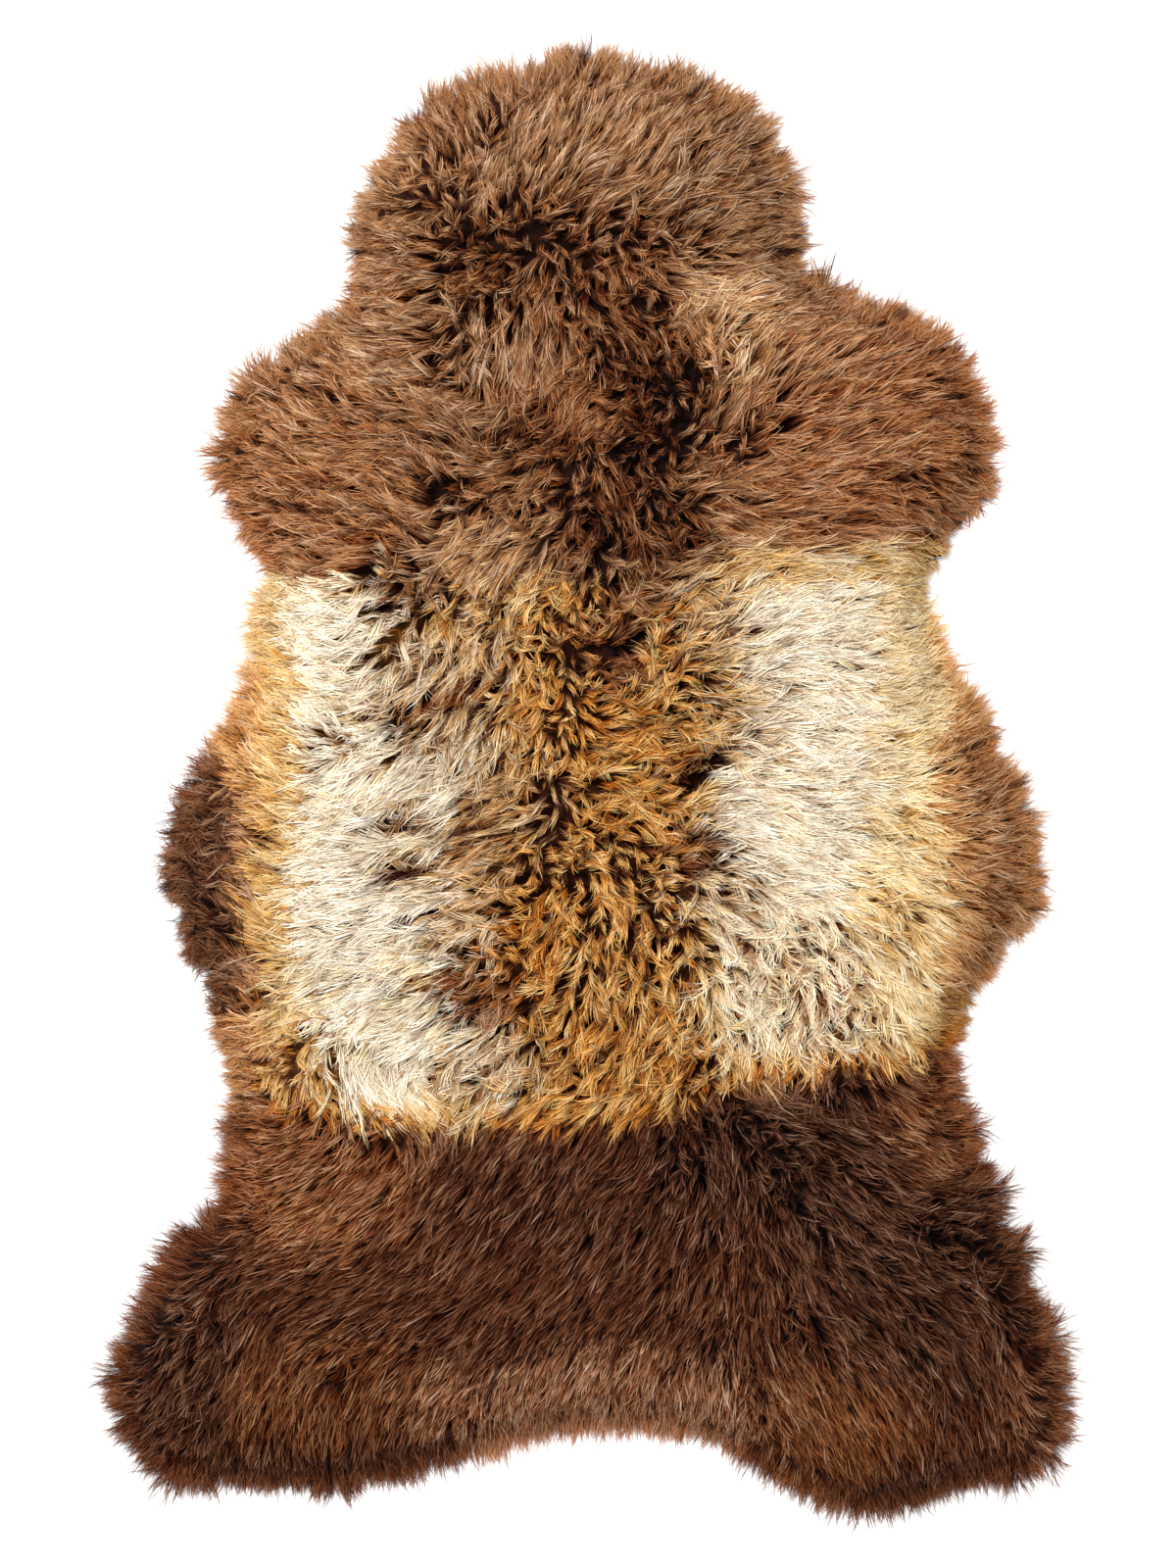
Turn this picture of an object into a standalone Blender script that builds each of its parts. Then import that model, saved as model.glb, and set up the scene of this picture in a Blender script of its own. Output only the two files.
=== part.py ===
"""Natural sheepskin rug, laid flat with its wool up.

The hide is a thin flat skin. The fleece is one lumpy slab of wool that stands on it, with loose locks all
round its rim. Metres, +Z up. The underside of the hide is at Z = 0 and the neck points to +Y.
"""

import math

import bmesh
import bpy
import numpy as np
from mathutils import Vector, noise
from mathutils.geometry import delaunay_2d_cdt

HIDE_THICKNESS = 0.0020
HIDE_INSET = 0.032
HIDE_POINTS = 120
TOUCH_GAP = 0.0003

PILE_DEPTH = 0.046
EDGE_ROUNDING = 0.060
WALL_TOP = 0.0135
LUMP_SIZE, LUMP_HEIGHT = 0.085, 0.0060
TUFT_SIZE, TUFT_HEIGHT = 0.034, 0.0065
PILE_SPACING = 0.0215

LOCK_COUNT = 240
LOCK_REACH = 0.020
LOCK_SWAY = 0.35
CLUMP_SIZE = 0.045
LOCK_SECTIONS = (
    # share of the reach, share of the root's width, share of its height, middle above the floor
    (0.50, 0.66, 0.50, 0.0058),
    (1.00, 0.13, 0.12, 0.0021),
)

# Where the tips of the rim wool come, walking clockwise round the skin from the crown of the neck.
OUTLINE = (
    # place, across, along
    ("crown", -0.020, 0.524),
    ("crown right", 0.070, 0.517),
    ("cheek right", 0.127, 0.484),
    ("neck right", 0.154, 0.430),
    ("neck foot right", 0.166, 0.372),
    ("shoulder right", 0.215, 0.350),
    ("foreleg rise right", 0.269, 0.318),
    ("foreleg right", 0.300, 0.246),
    ("foreleg fall right", 0.282, 0.189),
    ("girth right", 0.254, 0.138),
    ("flank right", 0.274, 0.076),
    ("belly rise right", 0.309, 0.014),
    ("belly right", 0.330, -0.060),
    ("belly fall right", 0.308, -0.120),
    ("waist right", 0.272, -0.182),
    ("loin right", 0.280, -0.232),
    ("rump right", 0.307, -0.302),
    ("thigh right", 0.332, -0.364),
    ("hind leg right", 0.354, -0.430),
    ("hind heel right", 0.334, -0.488),
    ("hind foot right", 0.270, -0.508),
    ("hind toe right", 0.204, -0.525),
    ("inner thigh right", 0.140, -0.504),
    ("tail right", 0.080, -0.472),
    ("tail", 0.000, -0.466),
    ("tail left", -0.070, -0.480),
    ("inner thigh left", -0.150, -0.503),
    ("hind foot left", -0.236, -0.508),
    ("hind heel left", -0.318, -0.486),
    ("hind leg left", -0.346, -0.424),
    ("thigh left", -0.320, -0.362),
    ("thigh notch left", -0.296, -0.322),
    ("rump left", -0.268, -0.300),
    ("waist left", -0.259, -0.232),
    ("flap fall left", -0.274, -0.160),
    ("flap left", -0.304, -0.064),
    ("flap rise left", -0.288, 0.002),
    ("flank left", -0.252, 0.068),
    ("girth left", -0.232, 0.138),
    ("foreleg fall left", -0.256, 0.204),
    ("foreleg left", -0.264, 0.250),
    ("foreleg rise left", -0.236, 0.304),
    ("shoulder left", -0.184, 0.338),
    ("neck foot left", -0.167, 0.376),
    ("neck left", -0.156, 0.430),
    ("cheek left", -0.118, 0.486),
)

# Troughs where the wool parts or lies lower, each along a straight line from start to end.
HOLLOWS = (
    # place, start across, start along, end across, end along, half width, depth
    ("belly flap left", -0.262, 0.010, -0.268, -0.150, 0.034, 0.017),
    ("thigh crease left", -0.256, -0.312, -0.266, -0.440, 0.015, 0.011),
    ("thigh crease right", 0.312, -0.345, 0.330, -0.425, 0.014, 0.008),
    ("neck parting", -0.075, 0.236, -0.030, 0.238, 0.018, 0.011),
    ("shoulder parting left", -0.205, 0.282, -0.150, 0.268, 0.014, 0.006),
    ("withers", 0.030, 0.300, 0.070, 0.240, 0.032, 0.006),
    ("whorl", -0.122, 0.140, -0.112, 0.122, 0.016, 0.008),
    ("back parting", 0.006, 0.150, 0.016, 0.020, 0.022, 0.006),
    ("loin", 0.080, -0.238, 0.170, -0.262, 0.030, 0.006),
)


def clear_scene():
    for old in list(bpy.data.objects):
        bpy.data.objects.remove(old)


def part_collection(name):
    collection = bpy.data.collections.new(name)
    bpy.context.scene.collection.children.link(collection)
    return collection


def plain_material(name, colour, roughness):
    material = bpy.data.materials.new(name)
    material.use_nodes = True
    surface = material.node_tree.nodes["Principled BSDF"]
    surface.inputs["Base Color"].default_value = (*colour, 1.0)
    surface.inputs["Roughness"].default_value = roughness
    surface.inputs["Metallic"].default_value = 0.0
    return material


def smooth_loop(corners, steps=16):
    """A closed curve through the corners, as points a little apart."""
    before, after, beyond = (np.roll(corners, -turn, axis=0) for turn in (-1, 1, 2))
    t = (np.arange(steps) / steps)[None, :, None]
    p0, p1, p2, p3 = (points[:, None, :] for points in (before, corners, after, beyond))
    curve = 0.5 * (
        2 * p1
        + (p2 - p0) * t
        + (2 * p0 - 5 * p1 + 4 * p2 - p3) * t**2
        + (3 * p1 - p0 - 3 * p2 + p3) * t**3
    )
    return curve.reshape(-1, 2)


def evenly_spaced(loop, count):
    """Points at equal steps along a closed loop."""
    closed = np.vstack([loop, loop[:1]])
    walked = np.concatenate([[0.0], np.cumsum(np.linalg.norm(np.diff(closed, axis=0), axis=1))])
    wanted = np.arange(count) * walked[-1] / count
    return np.stack([np.interp(wanted, walked, closed[:, axis]) for axis in (0, 1)], axis=1)


def moved_inward(loop, distance, rounds=8):
    """A clockwise loop moved inward, a little at a time, so that its inner corners stay round."""
    for _ in range(rounds):
        along = np.roll(loop, -1, axis=0) - np.roll(loop, 1, axis=0)
        along /= np.linalg.norm(along, axis=1)[:, None]
        inward = np.stack([along[:, 1], -along[:, 0]], axis=1)
        loop = evenly_spaced(loop + inward * distance / rounds, len(loop))
    return loop


def distance_to_loop(points, loop):
    """How far each point is from a closed loop of short straight steps."""
    step = np.roll(loop, -1, axis=0) - loop
    offset = points[:, None, :] - loop[None]
    share = ((offset * step).sum(2) / (step**2).sum(1)).clip(0, 1)
    return np.linalg.norm(offset - share[..., None] * step, axis=2).min(1)


def inside_loop(points, loop):
    """Whether each point lies inside a closed loop."""
    x, y = points.T[:, :, None]
    (x0, y0), (x1, y1) = loop.T, np.roll(loop, -1, axis=0).T
    spans = (y0 > y) != (y1 > y)
    rise = np.where(y1 == y0, 1.0, y1 - y0)
    return (spans & (x < x0 + (y - y0) * (x1 - x0) / rise)).sum(1) % 2 == 1


def hollow_depth(x, y):
    """How much lower the wool lies here because of the troughs."""
    depth = 0.0
    for _, start_x, start_y, end_x, end_y, half_width, deepest in HOLLOWS:
        run_x, run_y = end_x - start_x, end_y - start_y
        share = ((x - start_x) * run_x + (y - start_y) * run_y) / (run_x**2 + run_y**2)
        share = min(max(share, 0.0), 1.0)
        away = math.hypot(x - start_x - share * run_x, y - start_y - share * run_y)
        depth = max(depth, deepest * math.exp(-((away / half_width) ** 2)))
    return depth


def wool_height(x, y, from_rim):
    """Height of the fleece's top: a rounded edge, then a lumpy pile with its troughs."""
    rise = min(from_rim / EDGE_ROUNDING, 1.0)
    rounded = math.sqrt(1.0 - (1.0 - rise) ** 2)
    lumps = LUMP_HEIGHT * noise.noise(Vector((x, y, 0.0)) / LUMP_SIZE)
    tufts = TUFT_HEIGHT * noise.noise(Vector((x, y, LUMP_SIZE)) / TUFT_SIZE)
    crown = PILE_DEPTH - WALL_TOP + lumps + tufts - hollow_depth(x, y)
    return WALL_TOP + crown * rounded


def pile_points(rim):
    """Where the fleece's top has its points: rows that follow the rim, then a field of even triangles."""
    rows = [
        rim,
        moved_inward(rim, 0.009),
        evenly_spaced(moved_inward(rim, 0.022), LOCK_COUNT // 2),
        evenly_spaced(moved_inward(rim, 0.040), LOCK_COUNT // 2),
    ]
    low, high = rim.min(0), rim.max(0)
    row_step = PILE_SPACING * math.sqrt(3) / 2
    lines = np.arange(low[1], high[1], row_step)
    field = [
        (x + (line % 2) * PILE_SPACING / 2, y)
        for line, y in enumerate(lines)
        for x in np.arange(low[0], high[0], PILE_SPACING)
    ]
    field = np.array(field)
    kept = inside_loop(field, rows[-1]) & (distance_to_loop(field, rows[-1]) > 0.6 * PILE_SPACING)
    return np.vstack([*rows, field[kept]])


def fleece_slab(rim):
    """The wool as one closed slab: a lumpy top, a low upright wall along the rim and a flat underside."""
    points = pile_points(rim)
    count = len(rim)
    flat = [Vector(point) for point in points]
    places, _, triangles, *_ = delaunay_2d_cdt(flat, [], [list(range(count))], 1, 1e-6)
    from_rim = distance_to_loop(np.array(places), rim)
    mesh = bmesh.new()
    corners = [
        mesh.verts.new((place.x, place.y, wool_height(place.x, place.y, away)))
        for place, away in zip(places, from_rim)
    ]
    for triangle in triangles:
        mesh.faces.new([corners[index] for index in triangle])
    edge = [side for side in mesh.edges if side.is_boundary]
    lowered = bmesh.ops.extrude_edge_only(mesh, edges=edge)["geom"]
    walls = [item for item in lowered if isinstance(item, bmesh.types.BMFace)]
    bottom = [item for item in lowered if isinstance(item, bmesh.types.BMVert)]
    for corner in bottom:
        corner.co.z = HIDE_THICKNESS + TOUCH_GAP
    hem = [side for side in mesh.edges if side.is_boundary]
    bmesh.ops.edgeloop_fill(mesh, edges=hem)
    bmesh.ops.recalc_face_normals(mesh, faces=mesh.faces)
    return mesh, walls


def grow_lock(mesh, wall, random):
    """Draws one face of the wall out into a lock that narrows and sinks to the floor."""
    root = wall.calc_center_median()
    out = Vector((wall.normal.x, wall.normal.y, 0.0)).normalized()
    side = Vector((-out.y, out.x, 0.0))
    clump = 0.5 * noise.noise(Vector((root.x, root.y, CLUMP_SIZE)) / CLUMP_SIZE)
    sway = LOCK_SWAY * (random.uniform(-0.5, 0.5) + clump)
    reach = LOCK_REACH * (1.0 + 0.3 * random.uniform(-0.5, 0.5) + 0.3 * clump)
    heading = (out + side * sway).normalized()
    width_before, height_before = 1.0, 1.0
    for share, width, height, above_floor in LOCK_SECTIONS:
        wall = bmesh.ops.extrude_discrete_faces(mesh, faces=[wall])["faces"][0]
        old_middle = wall.calc_center_median()
        new_middle = root + heading * reach * share
        new_middle.z = above_floor * random.uniform(0.9, 1.2)
        for corner in wall.verts:
            away = corner.co - old_middle
            across = side * away.dot(side) * width / width_before
            upward = Vector((0.0, 0.0, away.z)) * height / height_before
            corner.co = new_middle + across + upward
        width_before, height_before = width, height


def grow_locks(mesh, walls):
    random = np.random.default_rng(7)
    for wall in sorted(walls, key=lambda face: tuple(face.calc_center_median())):
        grow_lock(mesh, wall, random)


def object_from(mesh, name, material, collection):
    data = bpy.data.meshes.new(name)
    mesh.to_mesh(data)
    mesh.free()
    data.materials.append(material)
    data.shade_smooth()
    data.set_sharp_from_angle(angle=math.radians(40))
    item = bpy.data.objects.new(name, data)
    collection.objects.link(item)
    return item


def make_fleece(outline, collection):
    rim = evenly_spaced(moved_inward(outline, LOCK_REACH), LOCK_COUNT)
    mesh, walls = fleece_slab(rim)
    grow_locks(mesh, walls)
    wool = plain_material("brown wool", (0.24, 0.13, 0.07), 0.9)
    return object_from(mesh, "fleece", wool, collection)


def make_hide(outline, collection):
    edge = evenly_spaced(moved_inward(outline, HIDE_INSET), HIDE_POINTS)
    curve = bpy.data.curves.new("hide", "CURVE")
    curve.dimensions = "2D"
    curve.fill_mode = "BOTH"
    curve.extrude = HIDE_THICKNESS / 2
    spline = curve.splines.new("POLY")
    spline.points.add(len(edge) - 1)
    for point, (x, y) in zip(spline.points, edge):
        point.co = (x, y, 0.0, 1.0)
    spline.use_cyclic_u = True
    curve.materials.append(plain_material("tanned skin", (0.62, 0.50, 0.37), 0.75))
    item = bpy.data.objects.new("hide", curve)
    item.location.z = HIDE_THICKNESS / 2
    collection.objects.link(item)
    return item


def centre_on(fleece, items):
    """Moves everything level so that the middle of the fleece stands over the origin."""
    corners = np.array([corner.co for corner in fleece.data.vertices])
    middle = (corners.min(0) + corners.max(0)) / 2
    for item in items:
        item.location.x -= middle[0]
        item.location.y -= middle[1]


def main():
    clear_scene()
    collection = part_collection("sheepskin")
    corners = np.array([(across, along) for _, across, along in OUTLINE])
    outline = evenly_spaced(smooth_loop(corners), 2 * LOCK_COUNT)
    hide = make_hide(outline, collection)
    fleece = make_fleece(outline, collection)
    centre_on(fleece, (hide, fleece))


main()
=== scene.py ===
"""A natural sheepskin, laid flat with its wool up and seen from straight above.

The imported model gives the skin's outline and how high the wool stands. Locks of wool grow from it, each a
few tapering strands that draw together towards its tip, combed and coloured by the tables below.
"""

import math

import bmesh
import bpy
import numpy as np
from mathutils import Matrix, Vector, noise
from mathutils.bvhtree import BVHTree


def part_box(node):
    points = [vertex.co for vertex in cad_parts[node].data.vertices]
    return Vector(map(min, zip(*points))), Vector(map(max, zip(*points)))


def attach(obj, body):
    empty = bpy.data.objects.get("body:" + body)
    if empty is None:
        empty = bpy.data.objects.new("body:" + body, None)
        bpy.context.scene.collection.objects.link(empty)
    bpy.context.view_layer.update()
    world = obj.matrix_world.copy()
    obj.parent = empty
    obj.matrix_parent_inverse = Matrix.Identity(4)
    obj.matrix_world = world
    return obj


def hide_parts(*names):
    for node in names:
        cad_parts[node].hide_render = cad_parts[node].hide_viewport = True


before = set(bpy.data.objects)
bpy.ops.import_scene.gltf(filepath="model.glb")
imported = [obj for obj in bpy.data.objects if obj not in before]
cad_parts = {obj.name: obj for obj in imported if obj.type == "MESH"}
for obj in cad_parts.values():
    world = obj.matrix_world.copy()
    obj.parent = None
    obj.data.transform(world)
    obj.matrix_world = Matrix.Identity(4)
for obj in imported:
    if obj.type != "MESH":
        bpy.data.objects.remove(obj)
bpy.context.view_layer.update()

CM, MM = 0.01, 0.001
WOOL_PIECES = ("neck_wool", "shoulder_wool", "back_wool", "loin_wool", "rump_wool")

# The grids that the slab and the comb are read on, and how many parts long sums are split into.
GRID_PITCH, GRID_MARGIN = 3 * MM, 30 * MM
COMB_PITCH = 2 * MM
CHUNKS = 40

# Wool past the slab's rim: how far it hangs over, how much less in a hollow, and how it falls to the floor.
OVERHANG, OVERHANG_LOST_IN_HOLLOW = 23 * MM, 60 * MM
RIM_FALL = 24 * MM
RIM_WOOL_TOP, RIM_WOOL_END = 13 * MM, 1.5 * MM
FLOOR_CLEARANCE = 0.6 * MM
UNDERSIDE_BELOW = 3 * MM

# The fringe round the rim: how far in it starts, how it is combed, the heights of its two lower layers as
# shares of the pile's, and painted light against the shade the fringe lies in: how far red, green and
# blue are raised in wool darker than the last value.
FRINGE_DEPTH = 14 * MM
COMBED_OUT_DEPTH = 24 * MM
LAYERED_DEPTH = 9 * MM
LAYER_LEVELS = ((0.55, 0.95), (0.15, 0.5))
RIM_PAINTED_LIGHT = np.array((0.33, 0.39, 0.41))
RIM_PAINTED_LIGHT_BELOW = 0.45

# Locks: their spacing, their strands and how far a typical one reaches, outside the rump and on it.
LONG_PITCH, LONG_STRANDS, LONG_REACH = 6.0 * MM, 14, 34 * MM
SHORT_PITCH, SHORT_STRANDS, SHORT_REACH = 4.6 * MM, 7, 24 * MM
LEAST_REACH = 8 * MM
ROOT_DEPTH = 9 * MM
LOCK_SCATTER = 2.5 * MM
COAT_SOFTNESS = 0.5
# Where along a lock each of its three colours is seen, and a coat is looked up: tip, middle, root.
COLOUR_LAYERS = ("tip", "middle", "root")
SHOWN_AT = (0.95, 0.60, 0.25)

# Strands: their width, the shares of the way to the tip where they bend, and their width at the two bends.
STRAND_WIDTH = 0.85 * MM
STATIONS = np.array((0.0, 0.45, 0.76, 1.0))
TAPER = np.array((1.0, 0.72))
# The least and the most that chance makes of a lock's reach, and of a strand's reach, curl and width.
LOCK_REACHES = (0.75, 1.15)
STRAND_REACHES = (0.6, 1.1)
STRAND_CURLS = (0.6, 1.3)
STRAND_WIDTHS = (0.7, 1.3)
# How far a strand swings round from root to tip and rolls on its side, in radians, and its tip's drop.
CURL_SWING = 5.2
STRAND_ROLL = 0.55
TIP_DROP = 1.2 * MM
# How unevenly light locks and strands are: the spread of their tints, and a metre of height's painted
# shade, darker the deeper a lock is sunk, and painted light, lighter the higher a strand lies.
LOCK_TINTS, LOCK_SHADE_BY_DEPTH = 0.13, 100
STRAND_TINTS, STRAND_LIGHT_BY_LIFT = 0.16, 280

# The comb: how far each stroke reaches, and the spreading of its strokes, a metre, that opens the pile.
STROKE_REACH = 1.6 * CM
OPENING_FROM, OPENING_RANGE = 6, 26
PARTING_WIDTH = 5 * MM
PARTING_STEPS = np.arange(-12, 13, 3) * MM
PARTING_DEPTH = 2.5 * MM

# The wool below the locks: its flat base, the share of the slab's height above it, and where it is rough
# and has more points than the slab.
UNDERCOAT_BASE = 2.3 * MM
UNDERCOAT_SHARE = 0.8
UNDERCOAT_ROUGH_ABOVE = 12 * MM
UNDERCOAT_FINE_ABOVE = 10 * MM
# Points closer than this are one, and how far the skin's cut rim is rounded.
SAME_POINT = 0.02 * MM
SKIN_RIM = 0.6 * MM

# Where the wool hangs further over the slab's rim than elsewhere, or less far.
RIM_MARKS = (
    # across and along in centimetres, radius in centimetres, further out in millimetres
    (-5.9, 51.5, 4, 8), (-14.6, 45.3, 4, 5), (12.5, 48, 4, 9), (15.2, 41.5, 3, -6), (7, 51, 3, 5),
    (-17, 38.8, 3, -5), (15.5, 38.8, 3.5, -10), (17, 36.6, 2, -7), (-21, 32.3, 4, 4), (23.5, 33.4, 5, 5),
    (-25.4, 17.6, 2.6, -12), (-26.6, 24.5, 3, 4), (28.4, 19.8, 3, -15), (25.1, 15.2, 3, -22),
    (25.1, 10.5, 3, 9), (28.4, 5.4, 2.5, -5), (-28.2, 0.2, 5, 5), (32.8, -6.3, 4, -13),
    (-29.5, -10.9, 3, -13), (-24.5, 6.6, 3, 2), (-27.3, -17, 3, -12), (-26.3, -25, 3, -5),
    (27.8, -15.5, 3, -7), (26.5, -19.6, 3, 13), (-31, -35, 4, 7), (-9, -48, 5, 6), (0.7, -46.5, 6, 6),
    (20, -51.7, 6, 4), (34.7, -41.4, 3, 4), (-33.8, -46.6, 2.5, 6), (-35.4, -41, 2, -5),
    (33.4, -48.8, 2.5, -5), (-12, -50, 5, 3), (-26.6, 25.4, 2, 3),
)

# The photograph's frame, 1200 by 1600 pixels: what it spans at the wool's mean height, and its middle.
FRAME_HEIGHT = 1.1127
FRAME_CENTRE = (-0.0035, 0.0020)
MEAN_WOOL_HEIGHT = 0.03
# How high the camera hangs, the height of its sensor in millimetres, and the studio's light and floor.
CAMERA_HEIGHT = 3.2
SENSOR = 36.0
LAMP_PLACE, LAMP_SIZE, LAMP_POWER = (-1.4, 1.6, 3.4), 1.2, 158.0
ROOM_LIGHT = 0.73
WHITE = (1.0, 1.0, 1.0, 1.0)
FLOOR_WHITE = (0.93, 0.93, 0.93, 1.0)
FLOOR_HALF_SIZE, FLOOR_GAP = 8.0, 0.1 * MM

# Wool of each colour, tip to root, its dark roots partly its own colour and partly painted shade. Sizes are
# in millimetres, the tangle in degrees.
COATS = (
    # name, tip, middle, root,
    # reach, spread, gather, tangle, curl, depth below the top, unevenness, partings
    ("brown", "C79466", "895936", "301408", 38, 3.0, 0.35, 9, 1.6, 0.0, 1.3, 1.1),
    ("russet", "CF8F5A", "8B502C", "331507", 38, 3.0, 0.35, 10, 1.6, 0.0, 1.4, 1.1),
    ("tan", "F2C896", "C08A58", "5A3018", 34, 3.0, 0.35, 12, 1.6, 0.0, 1.2, 0.7),
    ("umber", "C0804D", "784423", "230D06", 24, 2.6, 0.25, 26, 1.8, 0.4, 1.2, 1.0),
    ("dark", "91552F", "502914", "160803", 21, 2.6, 0.25, 32, 1.8, 1.6, 1.2, 1.1),
    ("rump", "723E24", "441F0D", "180804", 27, 2.6, 0.12, 5, 0.8, 0.0, 0.7, 0.3),
    ("rump_light", "B07245", "794221", "331507", 28, 2.6, 0.15, 6, 0.9, 0.0, 0.8, 0.5),
    ("rump_warm", "9A582C", "603014", "200C04", 27, 2.6, 0.12, 5, 0.8, 0.0, 0.8, 0.4),
    ("rump_ash", "C88B64", "875435", "402014", 27, 2.6, 0.12, 5, 0.8, 0.0, 0.8, 0.4),
    ("rump_dark", "70442C", "402213", "130603", 24, 2.6, 0.20, 12, 0.9, 0.5, 1.0, 0.8),
    ("cream", "FAF2DF", "F4E5C9", "824F1E", 44, 3.0, 0.40, 11, 2.8, 0.0, 1.3, 0.50),
    ("straw", "FFEFC8", "F4D8A0", "84501F", 40, 3.0, 0.40, 12, 2.4, 0.0, 1.3, 0.65),
    ("honey", "F0D191", "D8A559", "6E411E", 36, 3.0, 0.35, 12, 2.0, 0.0, 1.3, 0.8),
    ("ginger", "EEBC82", "BF8246", "5A2E12", 36, 3.0, 0.35, 10, 1.6, 0.0, 1.2, 0.9),
    ("orange", "EAA64C", "BC6E22", "4A220A", 27, 2.7, 0.35, 16, 1.8, 0.0, 1.4, 1.0),
    ("gold", "FFD884", "CE873A", "371808", 26, 2.4, 0.22, 30, 1.8, 0.0, 1.4, 1.4),
    ("taupe", "FAE5C1", "CBA06D", "3B190B", 30, 2.6, 0.42, 32, 3.4, 0.3, 1.6, 1.7),
    ("streaky", "F4CA94", "BF8B52", "331607", 38, 2.6, 0.35, 10, 1.4, 0.0, 1.4, 1.8),
    ("curly", "FFFADD", "F8DFB6", "784721", 28, 2.6, 0.45, 40, 3.6, 0.2, 1.5, 1.1),
    # pit: dark wool sunk between locks, dark partly by its own colour and partly by painted shade
    ("pit", "97582B", "602F12", "270F05", 18, 2.6, 0.30, 36, 2.0, 2.0, 1.3, 1.4),
    ("belly", "D69C66", "A56E42", "4A240F", 36, 3.0, 0.30, 10, 1.6, 0.0, 1.3, 0.9),
    ("flap", "8A5434", "4C2A16", "1C0A05", 27, 2.8, 0.30, 32, 2.6, 0.0, 1.6, 1.2),
)

# Borders of the pale band, in centimetres from the middle of the rug.
BAND_TOP = (
    (-28, 15), (-21, 14.5), (-14, 14.2), (-7, 14.6), (-2, 14), (3, 11.8), (6, 14), (10, 16.2), (17, 17),
    (28, 16.4),
)
BAND_BOTTOM = (
    (-28, -19.5), (-25, -21.6), (-22, -23.7), (-20, -24.3), (-17.3, -24.9), (-14.2, -25.4), (-10.4, -24.4),
    (-2.7, -24.5), (2.9, -24.5), (7, -23.8), (11.2, -21.9), (16, -21.2), (21, -21), (24.4, -20), (28, -17),
)
LEFT_BROWN = (
    (-22, -25.8), (-18, -25.6), (-15, -25.6), (-11, -25.4), (-7, -25.4), (-4, -25.8), (0, -26.4), (3, -28),
    (16, -30),
)
LEFT_CREAM = (
    (-24, -15.5), (-21, -19.6), (-17, -21.4), (-14, -21.3), (-10.5, -22), (-7, -22.8), (-4, -22),
    (0, -21.5), (3, -22), (7, -21.5), (12, -23), (14, -23.5),
)
LEFT_INNER = (
    (-24, -7), (-21, -6), (-17.5, -7.5), (-14, -9), (-10.5, -9), (-7, -8.6), (-3.6, -9.5), (0, -8),
    (3.3, -8), (7, -10.5), (10, -12), (14, -13),
)
RIGHT_INNER = (
    (-21, 9.5), (-17.5, 9), (-14, 8.5), (-9, 9), (-7, 9), (-3.6, 9), (0, 9.5), (3.5, 11), (7, 11),
    (10, 10.5), (12.5, 10), (16.5, 11),
)
RIGHT_CREAM = (
    (-21, 19), (-17.5, 20.5), (-14, 20), (-10.5, 18.4), (-7, 19.3), (-3.6, 19.7), (0, 20.5), (3.5, 20.5),
    (7, 21), (12.5, 21), (16.5, 22),
)
RIGHT_BROWN = (
    (-20, 25), (-17.5, 26), (-14, 26.5), (-10.5, 27), (-3.6, 26.5), (0, 25.6), (3.3, 26.2), (7, 27.5),
    (16, 26),
)

# Marks in the coat outside the band, in centimetres, degrees and shares.
MARKS = (
    # coat, across, along, half across, half along, turn, share
    ("russet", -22, 20, 9, 7, 0, 0.7),
    ("umber", -21, 24, 9, 8, 0, 0.42),
    ("russet", 22, 24, 12, 11, 0, 0.9),
    # The next three rows are painted light and shade of soft folds: a lighter stripe on top of the neck,
    # and darker bands by its upper right rim and across the left shoulder.
    ("tan", 0, 45, 5, 3.4, 0, 0.35),
    ("umber", 6, 49.6, 5, 1.4, -15, 0.5),
    ("umber", -20, 28.6, 5, 1.5, -20, 0.5),
    ("tan", -20, 24.6, 4, 2, 0, 0.3),
    ("tan", 16, 31, 5, 3, 25, 0.3),
    ("umber", 26.5, 24, 2.4, 6, 0, 0.2),
    ("umber", -3, 37, 11, 5.5, 0, 0.7),
    ("dark", -5, 38.5, 8, 1.6, 6, 0.4),
    ("dark", -8, 35.5, 5, 1.5, -8, 0.5),
    ("umber", 0, 22, 11, 7.5, 0, 0.7),
    ("umber", 5, 31, 7, 5, 0, 0.7),
    ("dark", 4.2, 26, 4, 7.5, -8, 0.8),
    ("dark", -5, 24.2, 5, 1.4, -14, 0.8),
    ("dark", -11, 21.4, 3, 0.9, -20, 0.6),
    ("dark", 3, 17, 6, 3, 0, 0.6),
    ("tan", 11, 33, 3, 3.6, 30, 0.95),
    ("tan", -9, 15.5, 4, 4, 60, 0.5),
    ("dark", -13, 48, 2, 1, -20, 0.7),
    ("rump_warm", 17, -46, 6, 5.5, 0, 0.7),
    ("rump_warm", -19, -43, 8, 4.5, 0, 0.6),
    ("rump_dark", 14, -26.5, 9, 4, 4, 0.8),
    ("rump_dark", 2, -30, 13, 4, 0, 0.45),
    ("rump_dark", 21, -33, 8, 6, 0, 0.75),
    ("rump_dark", 23, -36, 9, 8, 0, 0.55),
    ("rump_dark", -29.5, -42, 3.4, 6, 8, 0.75),
    ("rump_dark", 26, -42, 3, 3.4, 0, 0.5),
    ("rump_ash", 32, -43, 3.4, 6, 0, 0.45),
    ("rump_ash", -30, -40, 4, 6, 8, 0.2),
    ("rump_dark", -26.2, -36, 0.8, 6, 8, 0.7),
    ("rump_dark", 29.5, -37.5, 3, 0.8, -50, 0.7),
    ("rump_light", -20, -27.5, 8, 6, -10, 0.85),
    ("rump_light", 25, -23.5, 4, 4, 0, 0.6),
    ("rump_ash", 0, -44.5, 13, 4, 0, 0.9),
)

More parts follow.
